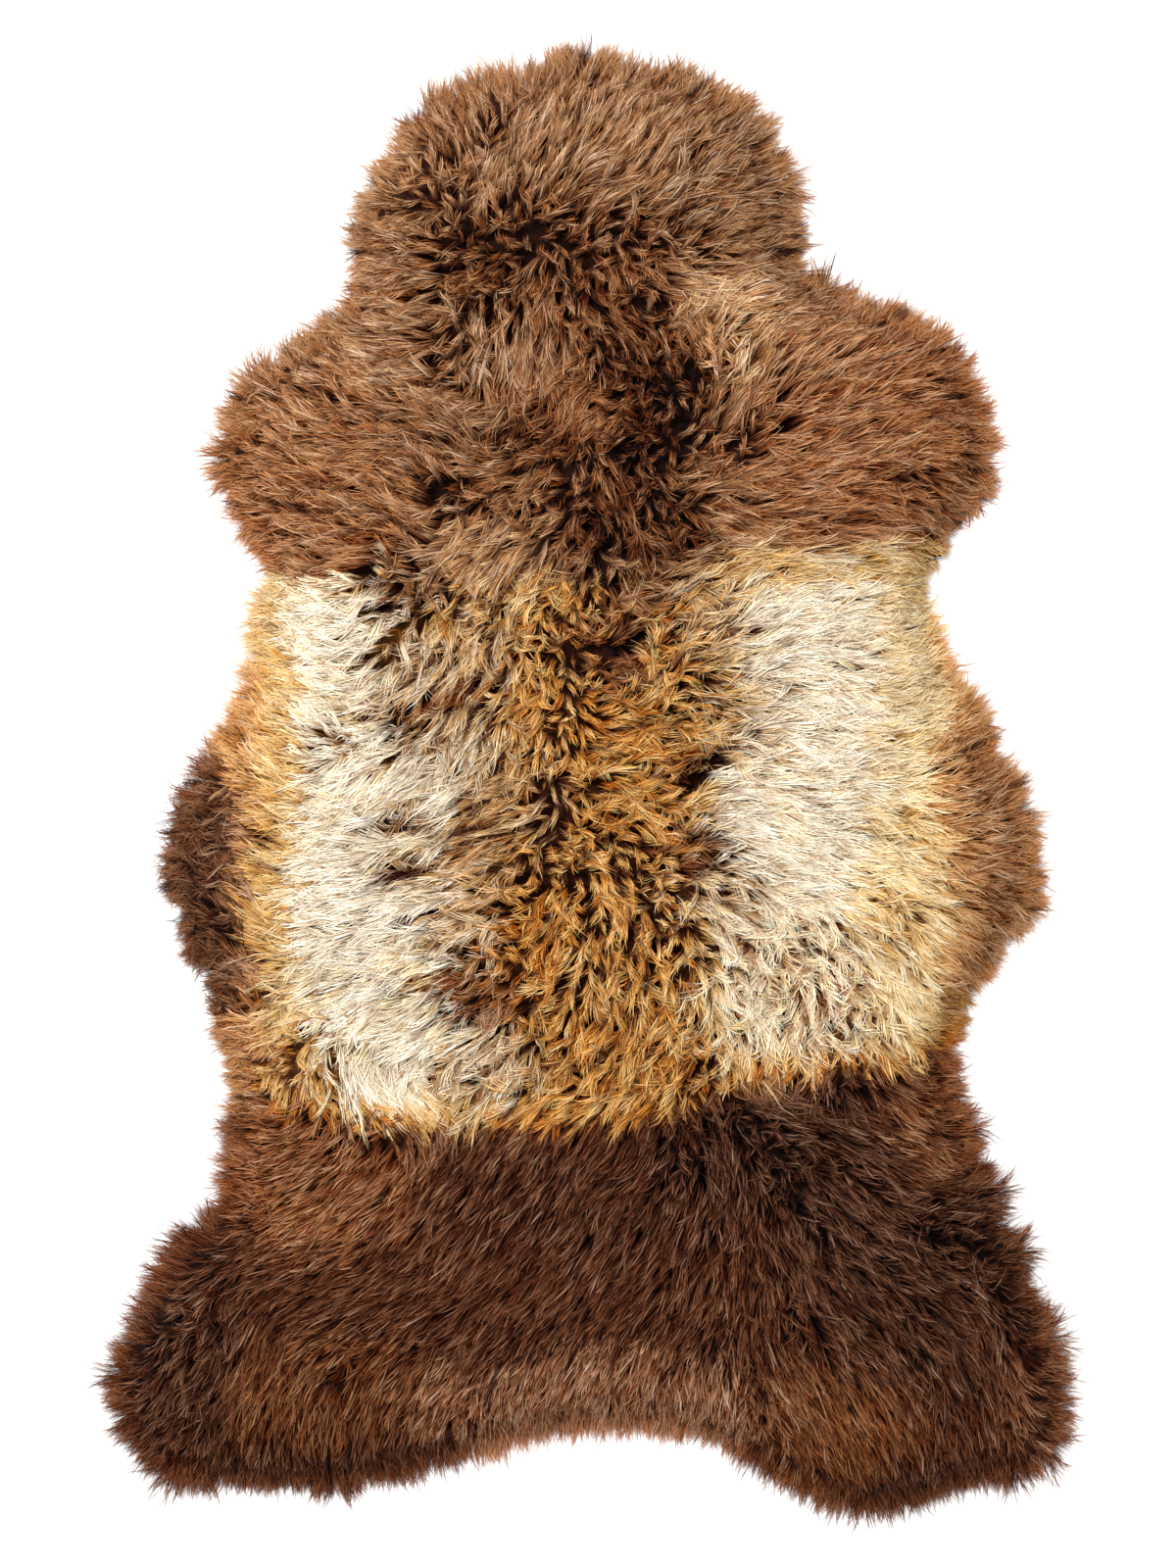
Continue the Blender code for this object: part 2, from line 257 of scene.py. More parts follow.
# Strokes of the comb, in centimetres and degrees: 0 lays the tips towards +X and 90 towards +Y.
STROKES = (
    # across, along, heading
    (-3, 51, 65), (-8, 49, 100), (-12, 48, 148), (-14, 45, 165), (-16, 41, 177), (-16, 36, 168),
    (-10, 46, 118), (-5, 44, 70), (-3, 42, 55), (0, 40, 40), (-8, 40.5, 75), (-12, 39, 178), (-12, 36, 185),
    (4, 48, 55), (9, 50, 48), (12, 47, 35), (4, 44, 62), (10, 44, 35), (14, 43, 5), (4, 41, 40),
    (9, 40, 30), (14, 39, 10), (15, 36, -15), (11, 36, 12), (5, 36, 350), (1, 37, 325), (-3, 36, 250),
    (-7, 36.5, 215), (2, 33, 308), (-4, 33.5, 265), (-0.5, 35, 285), (-17, 33, 147), (-21, 31, 145),
    (-25, 28, 157), (-26, 25, 178), (-21, 25, 153), (-24, 22, 167), (-19, 19, 160), (-22, 15, 172),
    (-15, 16, 176), (-12, 27, 160), (-8, 26, 158), (-9, 23, 150), (-4, 23, 200), (-8, 18, 225),
    (-12, 17, 140), (-7, 32.5, 262), (-12, 32, 165), (-1, 30, 240), (-7, 30, 285), (-1, 18, 240),
    (2, 22, 275), (4, 19, 290), (14, 34, 27), (18, 34, 38), (23, 33, 26), (17, 29, 30), (24, 31, 17),
    (28, 29, 10), (29, 25, -6), (24, 26, 10), (20, 24, 18), (16, 24, 25), (25, 21, -12), (23, 19, -34),
    (27, 20, -12), (21, 18, -8), (16, 19, 8), (12, 22, 15), (9, 26, 60), (7, 30, 100), (6, 21, 5),
    (3, 26, 200), (6, 16, 15), (16, 16, 5), (-26, 10, 165), (-20, 12, 165), (-24, 4, 142), (-18, 5, 160),
    (-14, 14, 205), (-11, 12, 268), (-10, 8, 235), (-15, 2, 208), (-22, -3, 165), (-17, -4, 190),
    (-25, -9, 135), (-19, -8, 182), (-25, -14, 142), (-19, -14, 200), (-14, -14, 208), (-23, -18, 172),
    (-18, -20, 308), (-20.5, -19.5, 255), (-21.5, -17, 215), (-14, -22, 315), (-9, -18, 215), (-7, -9, 186),
    (-5, -3, 195), (-5, 6, 240), (-2, -8, 235), (0, -3, 12), (-1, -5.4, 320), (1, -7, 275), (-3, -20, 225),
    (-28, -3, 190), (-28, -10, 200), (15, 14, 8), (22, 13, 15), (17, 7, -13), (23, 7, 20), (26, 3, 28),
    (29, 0, 20), (31, -4, 8), (31, -8, 0), (29, -12, -22), (18, 1, 3), (13, -5, -15), (20, -6, -18),
    (25, -11, -32), (20, -12, -50), (26, -16, -2), (25, -20, -20), (17, -15, -75), (15, -20, 245),
    (4, 10, 28), (9, 4, 2), (2, 3, 12), (5, -4, 20), (1, -13, 262), (5, -18, 240), (10, -9, -30),
    (9, 11, 25), (10, -14, 280), (-24, -23, 176), (-25, -27, 165), (-20, -26, 203), (-16, -27, 218),
    (-10, -28, 230), (-3, -28, 236), (-28, -32, 228), (-31, -36, 200), (-33, -41, 212), (-29, -41, 233),
    (-33, -47, 226), (-29, -49, 247), (-25, -46, 256), (-24, -39, 250), (-20, -47, 266), (-15, -45, 258),
    (-7, -45, 262), (-21, -32, 206), (-18, -36, 204), (-11, -37, 216), (-10, -41, 236), (-5, -35, 230),
    (-1, -41, 248), (3, -26, 230), (7, -30, 242), (3, -35, 226), (8, -37, 240), (10.5, -34, 266),
    (10.5, -29, 266), (11, -38, 268), (10, -25.5, 285), (2, -45, 262), (9, -43, 268), (13, -40, 296),
    (17, -37, 316), (21, -33, 328), (13, -32, 290), (17, -28, 316), (17, -25, 343), (13, -23, 355),
    (22, -25, 330), (26, -24, 325), (24, -29, 8), (28, -30, 22), (30, -33, -14), (24, -35, 330),
    (29, -38, 280), (33, -39, 314), (34, -43, 328), (33, -47, 305), (29, -48, 280), (24, -45, 284),
    (19, -49, 290), (16, -45, 298), (20, -41, 300),
)


# Streaks and patches inside the band, laid over its broad zones.
BAND_MARKS = (
    # coat, across, along, half across, half along, turn, share
    ("taupe", -11.5, 6, 5.5, 5, 0, 0.65),
    ("straw", -7, 13.5, 2.6, 2, 0, 0.45),
    ("taupe", -8, 10.5, 3, 3, 0, 0.5),
    ("umber", -12.5, 13.5, 3.4, 2.4, 20, 0.7),
    ("brown", -13.5, 15.5, 3, 2, 0, 0.6),
    ("pit", -13, 4.2, 3.0, 0.8, 15, 0.75),
    ("pit", -9, 5.2, 2.6, 0.9, -15, 0.75),
    ("pit", -14.4, 8.2, 1.6, 0.7, 10, 0.75),
    ("cream", -14.5, 1, 5, 1.6, 5, 0.6),
    ("taupe", -8.5, 0.5, 4, 2, 0, 0.55),
    ("taupe", -14.5, -2, 3, 1.4, 10, 0.5),
    ("pit", -13.4, -2.3, 2.2, 0.8, 10, 0.9),
    ("pit", -12.8, -6.2, 1.8, 0.8, 10, 0.9),
    ("pit", -12, -9.2, 2, 0.6, 10, 0.75),
    ("pit", -24, -3.7, 2, 0.6, 10, 0.7),
    ("umber", -10, -4.5, 2, 1.4, 0, 0.75),
    ("umber", -8.6, -11.8, 2.2, 1, 10, 0.9),
    ("streaky", -6, -3.2, 5, 3.4, 10, 0.9),
    ("streaky", -9, -7, 2.4, 3, 0, 0.6),
    ("taupe", -14, -6, 2, 1.6, 0, 0.65),
    ("taupe", -10.5, -10, 2.8, 2.4, 0, 0.7),
    ("pit", -13.6, -14.4, 1.4, 0.9, 30, 1.0),
    ("orange", -5.5, -13, 3, 4, -20, 0.6),
    ("umber", -9, -15.9, 4, 1.5, -25, 0.85),
    ("taupe", -8.5, -20.5, 3.6, 3, 0, 0.7),
    ("dark", 1.5, 13, 2.6, 2, 0, 0.75),
    ("dark", 3.5, 10, 3, 1.5, 25, 0.8),
    ("umber", 1, 8, 4.5, 2.6, 0, 0.6),
    ("taupe", 9, 12, 3, 3.6, 0, 0.5),
    ("orange", 2, 2, 4.5, 5, 0, 0.4),
    ("pit", 8.4, 1.3, 1.7, 1.4, 0, 0.8),
    ("umber", 8.4, -4.8, 2.2, 1.5, 10, 0.65),
    ("taupe", 10, -7.5, 3, 3, 0, 0.45),
    ("orange", 2, -21, 7, 3, 0, 0.4),
    ("pit", 17.5, -16.5, 2.2, 1.8, 30, 0.35),
    ("pit", 15.6, -11.6, 1.4, 0.6, 20, 0.7),
    ("pit", 21.5, -10.6, 1.4, 0.5, -20, 0.6),
    ("pit", 13.5, 6.2, 1.5, 0.6, 30, 0.55),
    ("taupe", 11.5, 4, 2.4, 4, 0, 0.35),
    ("honey", 22, -10.5, 2.6, 3, 0, 0.55),
    ("honey", 23.5, -4, 1.8, 4, 0, 0.5),
    ("honey", 23, 7, 2, 5, 0, 0.25),
    ("umber", 30.5, -8.5, 3, 3.4, 0, 0.25),
)


def linear_colour(code):
    """Linear red, green and blue of a colour written as six hexadecimal digits."""
    shares = np.array([int(code[place : place + 2], 16) / 255 for place in (0, 2, 4)])
    return np.where(shares > 0.04045, ((shares + 0.055) / 1.055) ** 2.4, shares / 12.92)


class Field:
    """Values on a grid over the rug, read smoothly between its points."""

    def __init__(self, low, values, pitch=GRID_PITCH):
        self.low, self.values, self.pitch = np.array(low), values, pitch

    def at(self, points):
        last = np.array(self.values.shape[:2]) - 1.01
        flat = ((points.reshape(-1, 2) - self.low) / self.pitch).clip(0, last)
        cell = flat.astype(int)
        part = flat - cell
        (i, j), (a, b) = cell.T, part.T
        if self.values.ndim == 3:
            a, b = a[:, None], b[:, None]
        near = self.values[i, j] * (1 - a) + self.values[i + 1, j] * a
        far = self.values[i, j + 1] * (1 - a) + self.values[i + 1, j + 1] * a
        mixed = near * (1 - b) + far * b
        return mixed.reshape(*points.shape[:-1], *self.values.shape[2:])


def read_slab(node):
    """The wool's height, the distance inside the slab's rim, the way out and how far the wool hangs over.

    It hangs over less in a hollow of the rim, where more of the slab lies round it.
    """
    tree = BVHTree.FromObject(node, bpy.context.evaluated_depsgraph_get())
    low, high = (np.array(corner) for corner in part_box(node.name))
    across, along = (
        np.arange(low[axis] - GRID_MARGIN, high[axis] + GRID_MARGIN, GRID_PITCH) for axis in (0, 1)
    )
    top = np.zeros((len(across), len(along)))
    inside = np.zeros(top.shape, bool)
    down, up = Vector((0, 0, -1)), Vector((0, 0, 1))
    for i, x in enumerate(across):
        for j, y in enumerate(along):
            under, normal, _, _ = tree.ray_cast(Vector((x, y, -1)), up)
            if under and normal.z < -0.999 and under.z < UNDERSIDE_BELOW:
                inside[i, j] = True
                top[i, j] = tree.ray_cast(Vector((x, y, 1)), down)[0].z
    solid = inside.copy()
    for axis in (0, 1):
        solid &= np.roll(inside, 1, axis) & np.roll(inside, -1, axis)
    places = np.stack(np.meshgrid(across, along, indexing="ij"), -1).reshape(-1, 2)
    rim = places[(inside & ~solid).ravel()]
    away = np.concatenate([
        np.linalg.norm(part[:, None] - rim[None], axis=2).min(1) for part in np.array_split(places, CHUNKS)
    ])
    depth = np.where(inside, 1, -1) * away.reshape(top.shape)
    beyond = (1 + depth / RIM_FALL).clip(0, 1) ** 2
    height = np.where(inside, top, RIM_WOOL_END + (RIM_WOOL_TOP - RIM_WOOL_END) * beyond)
    for _ in range(3):
        for axis in (0, 1):
            depth = (np.roll(depth, 1, axis) + 2 * depth + np.roll(depth, -1, axis)) / 4
    outward = -np.stack(np.gradient(depth), -1)
    outward /= np.linalg.norm(outward, axis=2, keepdims=True) + 1e-9
    fullness = inside.astype(float)
    for _ in range(12):
        for axis in (0, 1):
            fullness = (np.roll(fullness, 3, axis) + fullness + np.roll(fullness, -3, axis)) / 3
    overhang = OVERHANG - OVERHANG_LOST_IN_HOLLOW * (fullness - 0.5)
    places = places.reshape(*top.shape, 2)
    for place_across, place_along, radius, further in RIM_MARKS:
        away = np.linalg.norm(places - np.array((place_across, place_along)) * CM, axis=2) / (radius * CM)
        overhang += further * MM * np.exp(-(away**2))
    start = np.array((across[0], along[0]))
    return Field(start, height), Field(start, depth), Field(start, outward), Field(start, overhang)


def waves(points, size, seed):
    """Smooth noise from about -1 to 1 at each point, in waves of the given size."""
    return np.array([1.4 * noise.noise(Vector((x / size, y / size, seed))) for x, y in points])


def smooth_step(value):
    share = np.clip(value, 0, 1)
    return share * share * (3 - 2 * share)


def turned(vectors, angle):
    """Vectors turned anticlockwise by an angle in radians."""
    x, y = vectors[..., 0], vectors[..., 1]
    cosine, sine = np.cos(angle), np.sin(angle)
    return np.stack([x * cosine - y * sine, x * sine + y * cosine], -1)


def combed(points):
    """Which way the tips lie at each point, from the strokes round it, and how well those strokes agree."""
    across, along, heading = np.array(STROKES, float).T
    places = np.stack([across, along], 1) * CM
    ways = np.stack([np.cos(np.radians(heading)), np.sin(np.radians(heading))], 1)
    squared = ((points[:, None] - places[None]) ** 2).sum(2)
    weight = (squared + STROKE_REACH**2) ** -2.0
    way = weight @ ways / weight.sum(1, keepdims=True)
    agreement = np.linalg.norm(way, axis=1)
    return way / agreement[:, None], agreement


class Comb:
    """How the wool is combed, on a grid: its way, how well strokes agree, where it opens, its partings."""

    def __init__(self, low, high):
        across, along = (np.arange(low[axis], high[axis], COMB_PITCH) for axis in (0, 1))
        places = np.stack(np.meshgrid(across, along, indexing="ij"), -1)
        flat = places.reshape(-1, 2)
        found = [combed(part) for part in np.array_split(flat, CHUNKS)]
        way = np.concatenate([part[0] for part in found]).reshape(places.shape)
        agreement = np.concatenate([part[1] for part in found]).reshape(places.shape[:2])
        opening = (np.gradient(way[..., 0], axis=0) + np.gradient(way[..., 1], axis=1)) / COMB_PITCH
        self.way, self.agreement = Field(low, way, COMB_PITCH), Field(low, agreement, COMB_PITCH)
        self.opening = Field(low, smooth_step((opening - OPENING_FROM) / OPENING_RANGE), COMB_PITCH)
        # Thin gaps between locks, long in the way the wool is combed, with a spread of 1.
        grain = Field(low, waves(flat, PARTING_WIDTH, seed=31.0).reshape(agreement.shape), COMB_PITCH)
        streaks = sum(grain.at(places + way * step) for step in PARTING_STEPS)
        self.partings = Field(low, (streaks - streaks.mean()) / streaks.std(), COMB_PITCH)


def border(rows, places):
    """Where a border of the pale band runs, at places along its first column."""
    first, second = np.array(rows, float).T * CM
    return np.interp(places, first, second)


class Coats:
    """The wool at each lock: its three colours and its traits, mixed from the rows of COATS."""

    def __init__(self, count, random):
        self.random = random
        self.colours = np.tile(self.colours_of("brown"), (count, 1, 1))
        self.traits = np.tile(self.traits_of("brown"), (count, 1))

    def row(self, name):
        return next(row for row in COATS if row[0] == name)

    def colours_of(self, name):
        return np.array([linear_colour(code) for code in self.row(name)[1:4]])

    def traits_of(self, name):
        return np.array(self.row(name)[4:], float)

    def paint(self, name, share):
        """Lay a coat over a share of the locks. Half of the change is by whole locks and half is gradual.

        Colours change by equal factors, which keeps those between cream and brown warm.
        """
        chance = self.random.uniform(0, 1, len(self.traits))
        amount = ((share - chance * (1 - COAT_SOFTNESS)) / COAT_SOFTNESS).clip(0, 1)[:, None]
        self.traits += (self.traits_of(name) - self.traits) * amount
        self.colours *= (self.colours_of(name) / self.colours) ** amount[..., None]


def coats_at(points, random):
    """The wool seen at each point. Locks near a border fall on either side of it."""
    coats = Coats(len(points), random)
    paint = coats.paint
    x, y = (points + random.normal(0, LOCK_SCATTER, points.shape)).T
    x = x + 7 * MM * waves(points, 35 * MM, seed=3.0) + 3 * MM * waves(points, 12 * MM, seed=4.0)
    y = y + 7 * MM * waves(points, 26 * MM, seed=5.0) + 3 * MM * waves(points, 12 * MM, seed=6.0)
    mottle = waves(points, 9 * MM, seed=7.0) + 0.6 * waves(points, 24 * MM, seed=8.0)

    def paint_marks(marks, where):
        for name, across, along, half_across, half_along, turn, share in marks:
            offset = turned(np.stack([x - across * CM, y - along * CM], 1), -math.radians(turn))
            away = np.hypot(offset[:, 0] / (half_across * CM), offset[:, 1] / (half_along * CM))
            paint(name, share * where * smooth_step((1.3 - away + 0.25 * mottle) / 0.6))

    def inside(edge, width):
        return smooth_step(0.5 + edge / width)

    below_top = border(BAND_TOP, x) - y
    above_bottom = y - border(BAND_BOTTOM, x)
    in_band = inside(below_top, 28 * MM + 8 * MM * smooth_step(x / (8 * CM))) * inside(above_bottom, 7 * MM)
    paint("rump", inside(-above_bottom, 8 * MM))
    paint_marks(MARKS, 1 - in_band)

    # The middle of the pale band: gold with brown shadows, paler towards the right.
    paint("gold", in_band)
    near_left, near_right = x - border(LEFT_INNER, y), x - border(RIGHT_INNER, y)
    paint("taupe", in_band * (0.06 + 0.5 * inside(-near_left - 1 * CM, 4 * CM)))
    paint("straw", in_band * inside(near_right + 1.5 * CM, 7 * CM) * 0.6)
    paint("honey", in_band * smooth_step(1 - np.abs(near_right) / (3.5 * CM)) * 0.5)
    paint("pit", in_band * smooth_step((mottle - 0.1) / 0.4) * 0.8)

    # Its cream sides, curly low down on the right.
    left = inside(x - border(LEFT_CREAM, y), 32 * MM) * inside(-near_left, 40 * MM)
    right = inside(near_right, 44 * MM) * inside(border(RIGHT_CREAM, y) - x, 30 * MM)
    cream = in_band * np.maximum(left, right)
    paint("cream", cream)
    paint("straw", cream * (0.15 + 0.35 * smooth_step(mottle / 0.6)))
    inner_edge = smooth_step(1 - np.minimum(np.abs(near_left), np.abs(near_right)) / (3.5 * CM))
    paint("taupe", cream * inner_edge * smooth_step(mottle / 0.6) * 0.6)
    curly = in_band * right * inside(-y - 9 * CM, 3 * CM)
    paint("curly", curly * 0.85)
    paint("taupe", curly * smooth_step((mottle - 0.15) / 0.4) * 0.6)

    # The flanks beyond them, from honey to ginger and brown, and the band's upper and lower borders.
    beyond_left = in_band * inside(border(LEFT_CREAM, y) - x, 32 * MM)
    paint("honey", beyond_left)
    paint("straw", beyond_left * inside(y - 5 * CM, 6 * CM) * 0.4)
    paint("ginger", beyond_left * smooth_step((border(LEFT_CREAM, y) - x - 1.8 * CM) / (1.6 * CM)) * 0.85)
    beyond_right = in_band * inside(x - border(RIGHT_CREAM, y), 30 * MM)
    to_brown = border(RIGHT_BROWN, y) - x
    paint("straw", beyond_right)
    paint("honey", beyond_right * smooth_step((3.6 * CM - to_brown) / (3 * CM)) * 0.5)
    paint("ginger", beyond_right * smooth_step((2.2 * CM - to_brown) / (2.4 * CM)))
    paint("belly", in_band * inside(-to_brown - 6 * MM, 30 * MM))
    on_right = inside(x - 7 * CM, 3 * CM)
    paint("honey", in_band * smooth_step(1.2 - below_top / (34 * MM)) * on_right * 0.75)
    paint("ginger", in_band * smooth_step(1 - below_top / (22 * MM)) * on_right * 0.7)
    paint("straw", in_band * smooth_step(1 - below_top / (26 * MM)) * inside(-x - 14 * CM, 3 * CM) * 0.6)
    paint_marks(BAND_MARKS, in_band)
    paint("honey", in_band * smooth_step((26 * MM - above_bottom) / (14 * MM)) * 0.6)
    paint("orange", in_band * smooth_step((14 * MM - above_bottom) / (10 * MM)) * 0.8)

    # The brown flap low on the left flank.
    to_flap = border(LEFT_BROWN, y) - x
    left_side = inside(y + 23 * CM, 2 * CM) * inside(4 * CM - y, 2 * CM)
    paint("belly", left_side * inside(to_flap + 5 * MM, 16 * MM))
    paint("flap", left_side * inside(y + 16 * CM, 2 * CM) * inside(to_flap, 14 * MM))
    return coats


def lock_places(depth, pitch, random):
    """Points scattered evenly over the slab, one to a lock."""
    low = depth.low
    high = low + np.array(depth.values.shape) * GRID_PITCH
    row_step = pitch * math.sqrt(3) / 2
    rows, columns = int((high[1] - low[1]) / row_step), int((high[0] - low[0]) / pitch)
    j, i = np.meshgrid(np.arange(rows), np.arange(columns), indexing="ij")
    field = np.stack([(i + 0.5 * (j % 2)) * pitch, j * row_step], -1).reshape(-1, 2) + low
    field += random.uniform(-0.45, 0.45, field.shape) * pitch
    return field[depth.at(field) > -1 * MM]


class Locks:
    """Where each lock grows, which way it lies and what wool it is."""

    def __init__(self, roots, way, agreement, opening, level, strands, depth, overhang, random):
        count = len(roots)
        typical = np.where(strands == LONG_STRANDS, LONG_REACH, SHORT_REACH)[:, None]
        seed = random.integers(2**31)
        tip, middle, root = (
            coats_at(roots + way * typical * share, np.random.default_rng(seed)) for share in SHOWN_AT
        )
        reach, spread, gather, tangle, curl, sunk, uneven, self.partings = middle.traits.T
        inside = depth.at(roots)
        self.fringe = smooth_step(1 - inside / FRINGE_DEPTH)
        self.roots, self.level, self.strands = roots, level, strands
        self.spread, self.curl = spread * (1 + 0.5 * self.fringe) * MM, curl * MM
        self.gather = gather * (1 - 0.85 * self.fringe)
        self.sunk = (sunk + uneven * random.uniform(-0.8, 1.2, count)) * MM
        tangle = np.radians(tangle)
        swirl = tangle * (waves(roots, 28 * MM, seed=11.0) + 0.8 * waves(roots, 12 * MM, seed=12.0))
        loose = np.maximum(1 - smooth_step(agreement / 0.8), 0.7 * opening)
        self.root_depth = ROOT_DEPTH * (1 - 0.85 * opening)
        self.way = turned(way, swirl + random.normal(0, 1, count) * (0.09 + 1.3 * loose))
        self.bend = 0.8 * tangle * random.normal(0, 1, count)
        reach = reach * MM * random.uniform(*LOCK_REACHES, count) * (1 - 0.6 * loose)
        limit = overhang.at(roots) + random.uniform(-2.5 * MM, 2 * MM, count)
        reach = np.where(inside < 10 * MM, np.maximum(reach, limit + inside.clip(0, None)), reach)
        beyond = -depth.at(roots + self.way * reach[:, None]) - limit
        self.reach = np.maximum(reach - beyond.clip(0, None), LEAST_REACH)
        patches = 0.10 * waves(roots, 14 * MM, seed=13.0)
        # Painted shade: a lock is darker the deeper it is sunk, on top of its own random tone.
        tint_and_shade = np.exp(random.normal(0, LOCK_TINTS, count) + patches + LOCK_SHADE_BY_DEPTH * self.sunk)
        colours = np.stack([tip.colours[:, 0], middle.colours[:, 1], root.colours[:, 2]], 1)
        self.colours = colours ** tint_and_shade[:, None, None]


def plan_locks(comb, depth, outward, overhang, random):
    """All the locks: those of the pile, then lower ones round the rim that lie out to the floor."""
    long_pile = lock_places(depth, LONG_PITCH, random)
    short_pile = lock_places(depth, SHORT_PITCH, random)
    long_pile = long_pile[long_pile[:, 1] > border(BAND_BOTTOM, long_pile[:, 0])]
    short_pile = short_pile[short_pile[:, 1] <= border(BAND_BOTTOM, short_pile[:, 0])]
    pile = np.concatenate([long_pile, short_pile])
    strands = np.repeat((LONG_STRANDS, SHORT_STRANDS), (len(long_pile), len(short_pile)))
    near = depth.at(pile) < LAYERED_DEPTH
    rim, rim_strands = pile[near], strands[near]
    places = np.concatenate([pile, rim, rim])
    level = np.concatenate([
        np.ones(len(pile)), *(random.uniform(*levels, len(rim)) for levels in LAYER_LEVELS)
    ])
    strands = np.concatenate([strands, rim_strands, rim_strands])
    places = places + random.normal(0, 1 * MM, places.shape)
    near_rim = smooth_step(1 - depth.at(places) / COMBED_OUT_DEPTH)[:, None]
    way = comb.way.at(places) * (1 - 0.7 * near_rim) + outward.at(places) * 0.9 * near_rim
    way /= np.linalg.norm(way, axis=1, keepdims=True)
    agreement = np.maximum(comb.agreement.at(places), near_rim[:, 0])
    opening = comb.opening.at(places) * (1 - near_rim[:, 0])
    return Locks(places, way, agreement, opening, level, strands, depth, overhang, random)


def grow_strands(locks, height, partings, random):
    """Corner points, colours and shares of the way to the tip for every strand of the locks."""
    owner = np.repeat(np.arange(len(locks.roots)), locks.strands)
    count = len(owner)
    way = locks.way[owner]
    side = np.stack([-way[:, 1], way[:, 0]], 1)
    fringe = locks.fringe[owner]
    outer = random.uniform(0, 1, count)
    spot = np.sqrt(outer) * locks.spread[owner]
    spin = random.uniform(0, 2 * math.pi, count)
    offset = np.stack([1.5 * spot * np.cos(spin), spot * np.sin(spin)], 1)
    share = random.uniform(*STRAND_REACHES, count)
    reach = locks.reach[owner] * (share + fringe * (0.04 - 0.1 * random.uniform(0, 1, count)))
    phase = random.uniform(0, 2 * math.pi, len(locks.roots))[owner] + random.normal(0, 0.5, count)
    curl = locks.curl[owner] * random.uniform(*STRAND_CURLS, count)
    lift = (0.8 - 2.0 * outer + random.uniform(-0.8, 0.8, count)) * MM
    bend = locks.bend[owner] + random.normal(0, 1, count) * (0.08 + 0.08 * fringe)

    t = STATIONS[None, :]
    kept = 1 - locks.gather[owner][:, None] * t
    along = (reach[:, None] * (0.18 * t + 0.82 * t**1.15)) + offset[:, :1] * kept
    sideways = offset[:, 1:] * kept + curl[:, None] * np.sin(phase[:, None] + CURL_SWING * t) * t
    heading = turned(way[:, None, :], bend[:, None] * t)
    flank = turned(side[:, None, :], bend[:, None] * t)
    ground = locks.roots[owner][:, None, :] + heading * along[..., None] + flank * sideways[..., None]
    surface = height.at(ground)
    below = -locks.root_depth[owner][:, None] * (1 - smooth_step(t / 0.55))
    rise = below - TIP_DROP * smooth_step((t - 0.6) / 0.4)
    level = surface * locks.level[owner][:, None] + rise + (lift - locks.sunk[owner])[:, None]
    parted = smooth_step((partings.at(ground) - 2 + locks.partings[owner][:, None]) / 0.7)
    level = np.maximum(level - PARTING_DEPTH * parted * t, FLOOR_CLEARANCE + 0.3 * MM * (1 - t))
    spine = np.concatenate([ground, level[..., None]], -1)

    roll = random.normal(0, STRAND_ROLL, count)[:, None]
    upright = np.broadcast_to(np.sin(roll)[..., None], (count, len(STATIONS), 1))
    flat = np.concatenate([flank * np.cos(roll)[..., None], upright], -1)
    width = STRAND_WIDTH * (1 - 0.4 * fringe) * random.uniform(*STRAND_WIDTHS, count)
    half = flat[:, 1:3] * (width[:, None] * TAPER[None])[..., None] / 2
    corners = np.empty((count, 6, 3))
    corners[:, 0] = spine[:, 0]
    corners[:, 1:5:2] = spine[:, 1:3] - half
    corners[:, 2:5:2] = spine[:, 1:3] + half
    corners[:, 5] = spine[:, 3]
    corners[..., 2] = np.maximum(corners[..., 2], FLOOR_CLEARANCE / 2)

    # Painted light: a strand is lighter the higher it lies, on top of its own random tone.
    tint_and_shade = random.normal(0, STRAND_TINTS, count) - STRAND_LIGHT_BY_LIFT * lift
    tint_and_shade = np.exp(tint_and_shade * (1 - 0.6 * fringe))
    colours = locks.colours[owner] ** tint_and_shade[:, None, None]
    # Painted light: fringe wool darker than a threshold is lightened against the shade it lies in.
    brightness = (colours[:, :2].mean(2, keepdims=True) / RIM_PAINTED_LIGHT_BELOW).clip(None, 1)
    colours[:, :2] *= brightness ** (-RIM_PAINTED_LIGHT * fringe[:, None, None])
    # Painted shade in the partings: there tip and middle are darkened towards 0.8 times the root colour.
    shade = 0.85 * np.stack([parted[:, 2:].mean(1), parted[:, 1], np.zeros(count)], 1)[..., None]
    return corners, colours * (0.8 * colours[:, 2:] / colours) ** shade


